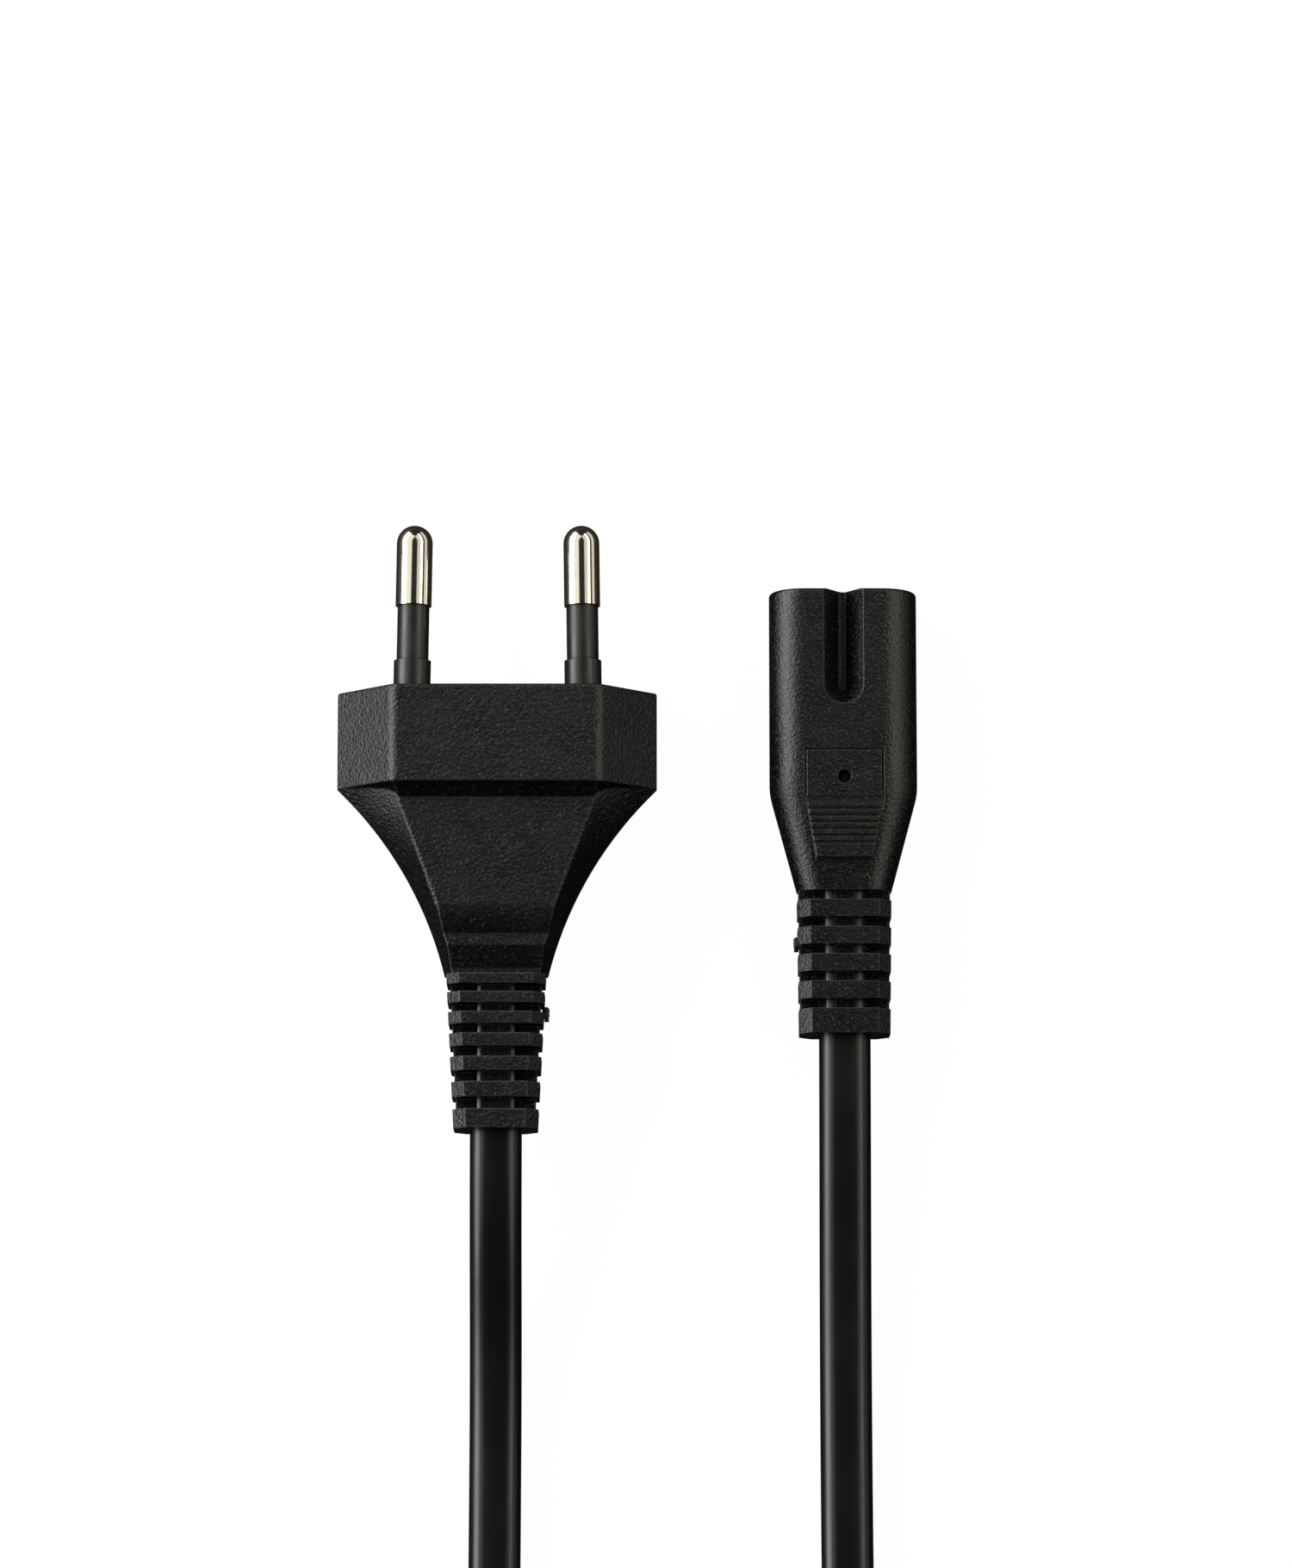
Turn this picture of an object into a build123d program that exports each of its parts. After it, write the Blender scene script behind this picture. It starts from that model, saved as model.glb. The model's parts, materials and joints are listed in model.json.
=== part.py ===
"""A two-wire mains cord, laid out flat as it would lie on a table.

A moulded flat plug with two round pins is on one end and a moulded connector with a
figure-of-eight nose and two contacts is on the other. A flat twin cable joins them. Its
long middle stretch is wound into a round coil, held by a twist tie.

The frame: the origin is on the table, under the middle of the box around the plug and the
connector. +X runs from the plug to the connector, +Y is the way that the pins point, and
+Z is up. All sizes are in millimetres.
"""

from build123d import *
import os
from math import atan, cos, degrees, radians, sin, sqrt, tan

# Plug: a hexagonal block in front, a waisted tail, a neck and a ribbed strain relief
PLUG_WIDTH = 35.3
PLUG_THICKNESS = 13.7
PLUG_FLAT_WIDTH = 22.7
PLUG_SIDE_FLAT = 1.1
BLOCK_DEPTH = 10.75
BLOCK_EDGE_RADIUS = 1.6
BLOCK_RIM_RADIUS = 0.35
LEDGE_DEPTH = 1.7
LEDGE_HOLLOW = 0.12
LEDGE_SIDE = 1.4
LEDGE_SINK = 0.2
LEDGE_MIDDLE = 0.35
TAIL_FRONT_THICKNESS = 10.0
TAIL_REAR_THICKNESS = 9.0
TAIL_MIDDLE = 19.95
TAIL_MIDDLE_WIDTH = 20.8
TAIL_END_WIDTH = 11.4
TAIL_FLAT_END_WIDTH = 7.8
TAIL_EDGE_RADIUS = 0.6
TAIL_STATIONS = 5
TAIL_SLOPE_LEAST = 1.2
DROP_START = 23.0
DROP_HEIGHT = 4.78
DROP_SLOPE = 0.04
DROP_END = 27.3
LIP_START_THICKNESS = 7.5
LIP_END = 28.5
LIP_THICKNESS = 7.45
NECK_START = 31.0
NECK_END = 31.6
NECK_THICKNESS = 5.3

# Plug strain relief: seven ribs, the gaps and ribs growing towards the cable
PLUG_RIBS = 7
PLUG_RIB_PITCH = 2.03
PLUG_RIB_GROWTH = 1.08
PLUG_RIB_SHARE = 0.57
PLUG_RELIEF_END = 48.6
PLUG_RELIEF_WIDTH = (10.9, 9.2)
PLUG_RELIEF_THICKNESS = (7.8, 7.0)
PLUG_WEB_WIDTH = 3.4
PLUG_SIDE_SINK = 0.4

# Pins: 4 mm round pins, with insulating sleeves that leave the tips bare
PIN_LENGTH = 19.0
PIN_RADIUS = 2.0
PIN_SPACING = 19.0
PIN_LEAN = 0.8
SHANK_RADIUS = 1.4
SLEEVE_LENGTH = 9.9
SLEEVE_RADIUS = 1.77
COLLAR_RADIUS = 2.06
COLLAR_LENGTH = 3.7
SLEEVE_ROOT = 1.6
FLANGE_RADIUS = 2.4
FLANGE = (3.2, 4.4)
BARREL_RADIUS = 1.8
BARREL = (7.6, 13.0)
CRIMP_DEPTH = 4.4

# Pin bridge: the hard bar inside the block that holds the pins apart
BRIDGE_WIDTH = 26.0
BRIDGE_THICKNESS = 8.2
BRIDGE = (1.2, 6.4)
BRIDGE_WINDOW_WIDTH = 7.0
BRIDGE_WINDOW_DEPTH = 2.4
BRIDGE_CORNER = 1.2

# Connector: a rounded flat nose with a groove down each broad side, and a tapered tail
NOSE_WIDTH = 16.4
NOSE_THICKNESS = 7.8
NOSE_LENGTH = 21.8
NOSE_RIM_RADIUS = 0.45
TAPER_END = 33.7
TAPER_END_WIDTH = 10.5
TAPER_END_THICKNESS = 6.0
TAPER_BEND = 1.8
KEY_GROOVE_WIDTH = 4.4
KEY_GROOVE_FLOOR = 0.6
KEY_GROOVE_DEPTH = 2.7
KEY_GROOVE_LENGTH = 13.0
KEY_SEAM_WIDTH = 0.22
KEY_SEAM_HEIGHT = 0.3
KEY_SEAM_X = -0.36

# Grip pad on each broad side of the connector
PAD_START = 18.0
PAD_BEND = 23.6
PAD_END = 30.4
PAD_WIDTH = 8.8
PAD_END_WIDTH = 6.6
PAD_POCKET = 0.25
PAD_PLATEAU = 0.03
PAD_MOAT = 0.15
PAD_EDGE = 0.14
PAD_DEPTH = 1.4
PAD_STEP = 0.24
PAD_STEP_LENGTH = 0.65
PAD_HOLE_RADIUS = 0.75
PAD_HOLE_DEPTH = 1.0
PAD_HOLE_AT = 21.2
SERRATIONS = 7
SERRATION_START = 24.0
SERRATION_PITCH = 0.76
SERRATION_WIDTH = 0.4
SERRATION_DEPTH = 0.22

# Connector strain relief: five equal gaps
CONNECTOR_GAPS = 5
CONNECTOR_RIB_PITCH = 3.02
CONNECTOR_GAP = 1.1
CONNECTOR_RELIEF_END = 49.6
CONNECTOR_RELIEF_WIDTH = (10.4, 10.0)
CONNECTOR_RELIEF_THICKNESS = (6.6, 6.4)
CONNECTOR_WEB_WIDTH = 2.1
CONNECTOR_SIDE_SINK = 0.15

# Both strain reliefs, and the gate stub on one side of each
PLUG_GATE_AT = 35.6
CONNECTOR_GATE_AT = 39.3
GATE_STUB = (0.8, 1.2, 1.3)
GATE_SHRED = (0.5, 0.8, 0.7)
GATE_CHAMFER = 0.2
RELIEF_CORNER = 1.35
WEB_SINK = 1.15
SIDE_WEB_THICKNESS = 2.8

# Contact carrier, contacts and their holes
CONTACT_SPACING = 8.6
CARRIER_LOBE_RADIUS = 2.7
CARRIER_BRIDGE_THICKNESS = 1.7
CARRIER_LENGTH = 17.0
CONTACT_HOLE_RADIUS = 1.35
CONTACT_HOLE_DEPTH = 3.0
CONTACT_RADIUS = 1.75
CONTACT_BORE_RADIUS = 1.15
CONTACT_START = 3.0
CONTACT_BORE_END = 13.5
CONTACT_SLOT = 0.5
CONTACT_SLOT_END = 11.0
CONTACT_BARREL_RADIUS = 1.3
CONTACT_END = 20.5

# Flat twin cable and its two cores
CABLE_WIDTH = 5.7
CABLE_THICKNESS = 3.5
CORE_RADIUS = 1.0
CORE_PITCH = 2.3
WIRE_RADIUS = 0.55
CORE_BEND_RADIUS = 3.2
CORE_STRAIGHT_SHARE = 0.16
PLUG_SHEATH_START = 29.0
CONNECTOR_SHEATH_START = 33.0

# Layout on the table
AXIS_SPACING = 38.35
CONNECTOR_FRONT_Y = 26.65

# Coil: two layers of the cable, standing on its edge
COIL_CENTRE = (4.75, -146.0)
COIL_OUTER_TURN = 37.6
COIL_INNER_TURN = 25.6
COIL_LAYERS = 2
COIL_EDGE_RADIUS = 1.4

# Twist tie round the coil
TIE_WIDTH = 4.0
TIE_STRIP = 0.55
TIE_TWIST_LENGTH = 8.0
TIE_TWIST_RADIUS = 1.1
TIE_TWIST_HEIGHT = 3.6
TIE_TWIST_DROP = 11.0

# Worked out from the sizes above
PLUG_X = (PLUG_WIDTH / 2 - AXIS_SPACING - NOSE_WIDTH / 2) / 2
CONNECTOR_X = PLUG_X + AXIS_SPACING
PLUG_FACE_Y = (PLUG_RELIEF_END - PIN_LENGTH) / 2
PLUG_Z = PLUG_THICKNESS / 2
CONNECTOR_Z = NOSE_THICKNESS / 2
FLOOR_Z = CABLE_THICKNESS / 2
COIL_HEIGHT = COIL_LAYERS * CABLE_WIDTH
COIL_INSIDE = COIL_INNER_TURN - CABLE_THICKNESS / 2
COIL_OUTSIDE = COIL_OUTER_TURN + CABLE_THICKNESS / 2

# Route on the plug's side, from inside the plug to the coil's lower layer
PLUG_ROUTE = [
    (PLUG_X, PLUG_FACE_Y - PLUG_SHEATH_START, PLUG_Z),
    (PLUG_X + 0.03, -27.0, PLUG_Z),
    (PLUG_X, -42.0, PLUG_Z),
    (PLUG_X, -60.0, FLOOR_Z),
    (PLUG_X - 0.05, -77.0, FLOOR_Z),
    (PLUG_X - 0.15, -92.0, FLOOR_Z),
    (-20.0, -108.4, 2.3),
    (-24.4, -124.4, 2.85),
]

# Route on the connector's side, from inside the connector to the coil's upper layer
CONNECTOR_ROUTE = [
    (CONNECTOR_X, CONNECTOR_FRONT_Y - CONNECTOR_SHEATH_START, CONNECTOR_Z),
    (CONNECTOR_X + 0.03, -20.0, CONNECTOR_Z),
    (CONNECTOR_X, -34.0, CONNECTOR_Z),
    (CONNECTOR_X, -56.0, FLOOR_Z),
    (CONNECTOR_X + 0.05, -77.0, FLOOR_Z),
    (CONNECTOR_X + 0.2, -92.0, FLOOR_Z),
    (29.5, -108.4, 5.0),
    (33.9, -124.4, 8.4),
]


def across(back):
    """A plane across the axis of a moulded end, that far behind its front face."""
    return Plane(origin=(0, -back, 0), x_dir=(1, 0, 0), z_dir=(0, -1, 0))


def eight_sided(width, thickness, flat_width, side_flat):
    """A flat-topped section with slanting shoulders, as a face about the origin."""
    right = [
        (flat_width / 2, -thickness / 2),
        (width / 2, -side_flat / 2),
        (width / 2, side_flat / 2),
        (flat_width / 2, thickness / 2),
    ]
    left = [(-x, -y) for x, y in right]
    return make_face(Polyline(*right, *left, close=True))


def rounded_flat(width, thickness):
    """A section with flat broad sides and half-round narrow sides."""
    return SlotOverall(width, thickness)


def along_y(start, end, radius):
    """A round bar on the Y axis, between two distances behind the front face."""
    return extrude(across(start) * Circle(radius), amount=end - start)


def block_from(start, end, width, thickness):
    """A box about the Y axis, between two distances behind the front face."""
    return Pos(0, -(start + end) / 2, 0) * Box(width, end - start, thickness)


def tail_half_width(back):
    """Half the tail's width, on the arc that its hollow outline follows."""
    start = (BLOCK_DEPTH, PLUG_WIDTH / 2)
    middle = (TAIL_MIDDLE, TAIL_MIDDLE_WIDTH / 2)
    end = (NECK_END, TAIL_END_WIDTH / 2)
    arc = ThreePointArc(start, middle, end)
    centre = arc.arc_center
    return centre.Y - sqrt(arc.radius**2 - (back - centre.X) ** 2)


def tail_section(back):
    """The tail's section at a distance behind the front face."""
    share = (back - BLOCK_DEPTH) / (NECK_END - BLOCK_DEPTH)
    thickness = TAIL_FRONT_THICKNESS + share * (TAIL_REAR_THICKNESS - TAIL_FRONT_THICKNESS)
    flat = PLUG_FLAT_WIDTH + share * (TAIL_FLAT_END_WIDTH - PLUG_FLAT_WIDTH)
    width = 2 * tail_half_width(back)
    section = eight_sided(width, thickness, min(flat, width - TAIL_SLOPE_LEAST), PLUG_SIDE_FLAT)
    shoulders = [v for v in section.vertices() if abs(v.Y) > PLUG_SIDE_FLAT]
    return across(back) * fillet(shoulders, TAIL_EDGE_RADIUS)


def neck_profile():
    """The tail seen from the side: a slope that curves down to a lip, and the neck."""
    slope = Vector(-DROP_START, DROP_HEIGHT)
    lip = Vector(-DROP_END, LIP_START_THICKNESS / 2)
    front = Line((-BLOCK_DEPTH + 1, TAIL_FRONT_THICKNESS / 2 + 1), slope)
    drop = TangentArc(slope, lip, tangent=Vector(-1, -DROP_SLOPE))
    rest = Polyline(
        lip,
        (-LIP_END, LIP_THICKNESS / 2),
        (-NECK_START, NECK_THICKNESS / 2),
        (-NECK_END, NECK_THICKNESS / 2),
        (-NECK_END, 0),
        (-BLOCK_DEPTH + 1, 0),
        front @ 0,
    )
    upper = Plane.YZ * make_face([front, drop, *rest.edges()])
    upper = extrude(upper, amount=PLUG_WIDTH / 2, both=True)
    return upper + mirror(upper, about=Plane.XY)


def relief_blank(start, end, widths, thicknesses):
    """The tapering eight-sided bar that the ribs are cut from."""
    sections = []
    for back, width, thickness in zip((start, end), widths, thicknesses):
        face = eight_sided(
            width, thickness, width - 2 * RELIEF_CORNER, thickness - 2 * RELIEF_CORNER
        )
        sections.append(across(back) * face)
    return loft(sections, ruled=True)


def relief_gap(start, end, width, thickness, web_width, side_sink):
    """What is cut away between two ribs, leaving a web on each side of the cable."""
    slab = block_from(start, end, width + 4, thickness + 4)
    middle_web = block_from(start - 1, end + 1, web_width, thickness - 2 * WEB_SINK)
    side_webs = block_from(
        start - 1, end + 1, width - 2 * side_sink, SIDE_WEB_THICKNESS
    )
    return slab - middle_web - side_webs


def relief_sizes(back, start, end, widths, thicknesses):
    """Width and thickness of a tapering relief at one place along it."""
    share = (back - start) / (end - start)
    width = widths[0] + share * (widths[1] - widths[0])
    thickness = thicknesses[0] + share * (thicknesses[1] - thicknesses[0])
    return width, thickness


def ribbed_relief(start, end, widths, thicknesses, gaps, web_width, side_sink):
    """A strain relief: a tapering bar with a row of gaps that show the cable."""
    relief = relief_blank(start, end, widths, thicknesses)
    for gap_start, gap_end in gaps:
        width, thickness = relief_sizes(gap_start, start, end, widths, thicknesses)
        relief -= relief_gap(gap_start, gap_end, width, thickness, web_width, side_sink)
    return relief


def plug_gaps():
    """Start and end of each gap between the plug's ribs."""
    gaps = []
    rib_start = NECK_END
    for rib in range(PLUG_RIBS - 1):
        pitch = PLUG_RIB_PITCH * PLUG_RIB_GROWTH**rib
        gaps.append((rib_start + PLUG_RIB_SHARE * pitch, rib_start + pitch))
        rib_start += pitch
    return gaps


def connector_gaps():
    """Start and end of each gap in the connector's strain relief."""
    starts = [TAPER_END + gap * CONNECTOR_RIB_PITCH for gap in range(CONNECTOR_GAPS)]
    return [(start, start + CONNECTOR_GAP) for start in starts]


def gate_mark(x, back, outward):
    """The torn stub that the moulding gate leaves on the side of a strain relief."""
    stub = Pos(x, -back, 0) * Box(*GATE_STUB)
    shred_x = x + outward * GATE_SHRED[0] / 5
    shred = Pos(shred_x, -back - GATE_STUB[1] / 2, GATE_CHAMFER) * Box(*GATE_SHRED)
    return chamfer(stub.edges(), GATE_CHAMFER) + shred


def plug_block():
    """The hexagonal block that a hand grips, with rounded long edges."""
    section = eight_sided(PLUG_WIDTH, PLUG_THICKNESS, PLUG_FLAT_WIDTH, PLUG_SIDE_FLAT)
    block = extrude(across(0) * section, amount=BLOCK_DEPTH)
    long_edges = block.edges().filter_by(Axis.Y)
    shoulders = [e for e in long_edges if abs(e.center().X) < PLUG_FLAT_WIDTH / 2 + 0.1]
    block = fillet(shoulders, BLOCK_EDGE_RADIUS)
    front = block.faces().sort_by(Axis.Y)[-1]
    return fillet(front.edges(), BLOCK_RIM_RADIUS)


def plug_ledge():
    """The hollow ledge from the block's back down to the tail, nothing deep at the sides."""
    outline = eight_sided(PLUG_WIDTH, PLUG_THICKNESS, PLUG_FLAT_WIDTH, PLUG_SIDE_FLAT)
    blank = extrude(across(BLOCK_DEPTH - 1) * outline, amount=LEDGE_DEPTH + 2)
    long_edges = blank.edges().filter_by(Axis.Y)
    shoulders = [e for e in long_edges if abs(e.center().X) < PLUG_FLAT_WIDTH / 2 + 0.1]
    blank = fillet(shoulders, BLOCK_EDGE_RADIUS)
    sections = []
    for share in (0, LEDGE_MIDDLE, 1):
        sink = share + LEDGE_HOLLOW * share * (1 - share) * 4
        sections.append(ledge_section(share, min(sink, 1)))
    return blank & loft(sections, ruled=True)


def ledge_section(share, sink):
    """The ledge's section part of the way back, sunk by a share of the whole step."""
    width = PLUG_WIDTH - sink * (PLUG_WIDTH - PLUG_FLAT_WIDTH + LEDGE_SIDE)
    thickness = PLUG_THICKNESS - sink * (PLUG_THICKNESS - TAIL_FRONT_THICKNESS + LEDGE_SINK)
    flat = PLUG_FLAT_WIDTH - sink * LEDGE_SIDE
    return across(BLOCK_DEPTH + share * LEDGE_DEPTH) * eight_sided(
        width, thickness, flat, PLUG_SIDE_FLAT
    )


def plug_tail():
    """The waisted tail behind the block, down to the neck."""
    step = (NECK_END - BLOCK_DEPTH) / (TAIL_STATIONS - 1)
    sections = [tail_section(BLOCK_DEPTH + step * n) for n in range(TAIL_STATIONS)]
    return loft(sections) & neck_profile()


def leaning(side, piece):
    """A piece on a pin's axis, moved to its side and leant towards the other pin."""
    return Pos(side * PIN_SPACING / 2, 0, 0) * Rot(0, 0, side * PIN_LEAN) * piece


def pin_outside():
    """A turned pin: domed tip, thin shank, a flange to hold it and a crimp barrel."""
    body = along_y(-PIN_LENGTH + PIN_RADIUS, -SLEEVE_LENGTH, PIN_RADIUS)
    tip = Pos(0, PIN_LENGTH - PIN_RADIUS, 0) * Sphere(PIN_RADIUS)
    shank = along_y(-SLEEVE_LENGTH, BARREL[0], SHANK_RADIUS)
    flange = along_y(*FLANGE, FLANGE_RADIUS)
    return body + tip + shank + flange + along_y(*BARREL, BARREL_RADIUS)


def crimp_bore(margin=0):
    """The bore of a pin's crimp barrel, which the bare wire fills."""
    return along_y(BARREL[1] - CRIMP_DEPTH, BARREL[1] + margin, WIRE_RADIUS)


def pin_sleeve(side):
    """The insulating sleeve on a pin's root, with its thicker collar at the plug's face."""
    tube = along_y(-SLEEVE_LENGTH, SLEEVE_ROOT, SLEEVE_RADIUS)
    collar = along_y(-COLLAR_LENGTH, SLEEVE_ROOT, COLLAR_RADIUS)
    bore = along_y(-SLEEVE_LENGTH - 1, SLEEVE_ROOT + 1, SHANK_RADIUS)
    return leaning(side, tube + collar - bore)


def pin_bridge():
    """The hard bar that the pins are moulded into, with a window that locks it in."""
    bar = block_from(*BRIDGE, BRIDGE_WIDTH, BRIDGE_THICKNESS)
    bar = fillet(bar.edges().filter_by(Axis.Y), BRIDGE_CORNER)
    middle = (BRIDGE[0] + BRIDGE[1]) / 2
    window = block_from(
        middle - BRIDGE_WINDOW_DEPTH / 2,
        middle + BRIDGE_WINDOW_DEPTH / 2,
        BRIDGE_WINDOW_WIDTH,
        BRIDGE_THICKNESS + 2,
    )
    return bar - window


def core_path(pin_x, pin_back, cable_x, cable_back):
    """The bend that a core takes from a terminal in to its place in the cable."""
    straight = (cable_back - pin_back) * CORE_STRAIGHT_SHARE
    points = [
        (pin_x, -pin_back, 0),
        (pin_x, -pin_back - straight, 0),
        (cable_x, -cable_back + straight, 0),
        (cable_x, -cable_back, 0),
    ]
    return FilletPolyline(*points, radius=CORE_BEND_RADIUS)


def swept_round(path, radius):
    """A round bar along a path that starts along -Y."""
    start = Plane(origin=path @ 0, z_dir=path % 0)
    return sweep(start * Circle(radius), path=path)


def core_and_wire(path, wire_end):
    """A core's insulation, the copper in it, and the space that both take up."""
    wire = swept_round(path, WIRE_RADIUS)
    space = swept_round(path, CORE_RADIUS)
    return space - wire, wire + wire_end, space


def nose_section(back, width, thickness):
    """The connector's rounded flat section at a distance behind its front."""
    return across(back) * rounded_flat(width, thickness)


def connector_shell():
    """The connector's outside: a straight nose that bends into a tapering tail."""
    nose = extrude(nose_section(0, NOSE_WIDTH, NOSE_THICKNESS), amount=NOSE_LENGTH)
    nose = fillet(nose.faces().sort_by(Axis.Y)[-1].edges(), NOSE_RIM_RADIUS)
    taper_length = TAPER_END - NOSE_LENGTH
    slope = (NOSE_WIDTH - TAPER_END_WIDTH) / (taper_length - TAPER_BEND / 2)
    thin = (NOSE_THICKNESS - TAPER_END_THICKNESS) / (taper_length - TAPER_BEND / 2)
    sections = [nose_section(NOSE_LENGTH, NOSE_WIDTH, NOSE_THICKNESS)]
    for station in (1, 2, 3):
        along = station / 3 * TAPER_BEND
        fall = along**2 / (2 * TAPER_BEND)
        sections.append(
            nose_section(
                NOSE_LENGTH + along,
                NOSE_WIDTH - slope * fall,
                NOSE_THICKNESS - thin * fall,
            )
        )
    sections.append(nose_section(TAPER_END, TAPER_END_WIDTH, TAPER_END_THICKNESS))
    return nose + loft(sections[:-1], ruled=True) + loft(sections[-2:], ruled=True)


def key_groove():
    """The tapering groove between the nose's two lobes, open at the front."""
    half = KEY_GROOVE_WIDTH / 2
    length = KEY_GROOVE_LENGTH - half
    plan = Pos(0, -length / 2 + 2) * Rectangle(KEY_GROOVE_WIDTH, length + 4)
    plan += Pos(0, -length) * Circle(half)
    lean = degrees(atan((KEY_GROOVE_WIDTH - KEY_GROOVE_FLOOR) / 2 / KEY_GROOVE_DEPTH))
    top = NOSE_THICKNESS / 2
    groove = extrude(Pos(0, 0, top) * plan, amount=-KEY_GROOVE_DEPTH, taper=lean)
    seam = Pos(KEY_SEAM_X, -length / 2, top - KEY_GROOVE_DEPTH) * Box(
        KEY_SEAM_WIDTH, length, 2 * KEY_SEAM_HEIGHT
    )
    return groove - seam


def pad_outline(inset):
    """The grip pad's outline on the broad side, drawn in by an inset."""
    right = [
        (PAD_WIDTH / 2 - inset, -PAD_START - inset),
        (PAD_WIDTH / 2 - inset, -PAD_BEND),
        (PAD_END_WIDTH / 2 - inset, -PAD_END + inset),
    ]
    left = [(-x, y) for x, y in reversed(right)]
    return make_face(Polyline(*right, *left, close=True))


def grip_pad():
    """What a grip pad takes away and what it adds, on the upper broad side."""
    top = NOSE_THICKNESS / 2
    pocket = extrude(Pos(0, 0, top - PAD_POCKET) * pad_outline(0), amount=2)
    plateau = extrude(
        Pos(0, 0, top - PAD_DEPTH) * pad_outline(PAD_MOAT), amount=PAD_DEPTH - PAD_PLATEAU
    )
    upper = plateau.faces().sort_by(Axis.Z)[-1]
    plateau = chamfer(upper.edges(), PAD_EDGE)
    for line in range(SERRATIONS):
        back = SERRATION_START + line * SERRATION_PITCH
        cut = Pos(0, -back, top - PAD_PLATEAU) * Rot(45, 0, 0)
        side = SERRATION_WIDTH / sqrt(2)
        plateau -= cut * Box(PAD_WIDTH + 2, side, side)
    step = block_from(
        SERRATION_START - PAD_STEP_LENGTH, SERRATION_START, PAD_WIDTH + 2, PAD_STEP
    )
    plateau -= Pos(0, 0, top - PAD_PLATEAU) * step
    hole = Pos(0, -PAD_HOLE_AT, top - PAD_HOLE_DEPTH) * Cylinder(
        PAD_HOLE_RADIUS, 4, align=(Align.CENTER, Align.CENTER, Align.MIN)
    )
    return pocket, plateau, hole


def contact_space():
    """The stepped hole for one contact, from the connector's front to its crimp barrel."""
    entry = along_y(-1, CONTACT_HOLE_DEPTH, CONTACT_HOLE_RADIUS)
    seat = along_y(CONTACT_START, CONTACT_BORE_END + 1, CONTACT_RADIUS)
    outlet = along_y(CONTACT_BORE_END, CONTACT_END, CONTACT_BARREL_RADIUS)
    return entry + seat + outlet


def contact_carrier():
    """The hard carrier at the connector's front: two lobes joined by a thin bridge."""
    half = CONTACT_SPACING / 2
    section = Rectangle(CONTACT_SPACING, CARRIER_BRIDGE_THICKNESS)
    for side in (-1, 1):
        section += Pos(side * half, 0) * Circle(CARRIER_LOBE_RADIUS)
    carrier = extrude(across(0) * section, amount=CARRIER_LENGTH)
    for side in (-1, 1):
        carrier -= Pos(side * half, 0, 0) * contact_space()
    return carrier


def contact(side):
    """A split spring tube for the mating pin, with a crimp barrel behind it."""
    tube = along_y(CONTACT_START, CONTACT_BORE_END + 1, CONTACT_RADIUS)
    barrel = along_y(CONTACT_BORE_END, CONTACT_END, CONTACT_BARREL_RADIUS)
    bore = along_y(CONTACT_START - 1, CONTACT_BORE_END, CONTACT_BORE_RADIUS)
    slot = block_from(CONTACT_START - 1, CONTACT_SLOT_END, CONTACT_SLOT, 5)
    wire_bore = along_y(CONTACT_END - CRIMP_DEPTH, CONTACT_END + 1, WIRE_RADIUS)
    return Pos(side * CONTACT_SPACING / 2, 0, 0) * (tube + barrel - bore - slot - wire_bore)


def corner_radii(points):
    """The arc at each corner: 0.45 of the shorter run over the tangent of half the turn."""
    radii = []
    for before, corner, after in zip(points, points[1:], points[2:]):
        run_in = Vector(corner) - Vector(before)
        run_out = Vector(after) - Vector(corner)
        turn = radians(run_in.get_angle(run_out))
        radii.append(0.45 * min(run_in.length, run_out.length) / tan(turn / 2))
    return radii


def cable_run(name, points):
    """The flat cable along a route of straight runs and tangent arcs."""
    radii = corner_radii(points)
    path = FilletPolyline(*points, radius=radii)
    along = path % 0
    start = Plane(origin=path @ 0, x_dir=(-along.Y, along.X, 0), z_dir=along)
    section = start * rounded_flat(CABLE_WIDTH, CABLE_THICKNESS)
    run = sweep(section, path=path)
    print(name, "arc radii", [round(radius, 1) for radius in radii])
    print(name, "length", round(path.length, 1), "volume", round(run.volume, 1))
    print(name, "section times length", round(section.area * path.length, 1))
    return run


def coil_ring():
    """The wound middle of the cable, as the ring that its turns fill."""
    middle = (COIL_INSIDE + COIL_OUTSIDE) / 2
    block = Rectangle(COIL_OUTSIDE - COIL_INSIDE, COIL_HEIGHT)
    section = Pos(middle, COIL_HEIGHT / 2) * chamfer(block.vertices(), COIL_EDGE_RADIUS / 2)
    return Pos(*COIL_CENTRE, 0) * revolve(Plane.XZ * section, axis=Axis.Z)


def tie_plane(away):
    """A plane across the ring's section where the tie holds it, facing along the ring."""
    middle = (COIL_INSIDE + COIL_OUTSIDE) / 2
    return Plane(
        origin=(COIL_CENTRE[0] + away, COIL_CENTRE[1] - middle, (COIL_HEIGHT + TIE_STRIP) / 2),
        x_dir=(0, 1, 0),
        z_dir=(1, 0, 0),
    )


def tie_inside():
    """The section of the ring inside the tie, which lifts it off the table."""
    return RectangleRounded(
        COIL_OUTSIDE - COIL_INSIDE, COIL_HEIGHT - TIE_STRIP, COIL_EDGE_RADIUS
    )


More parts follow.
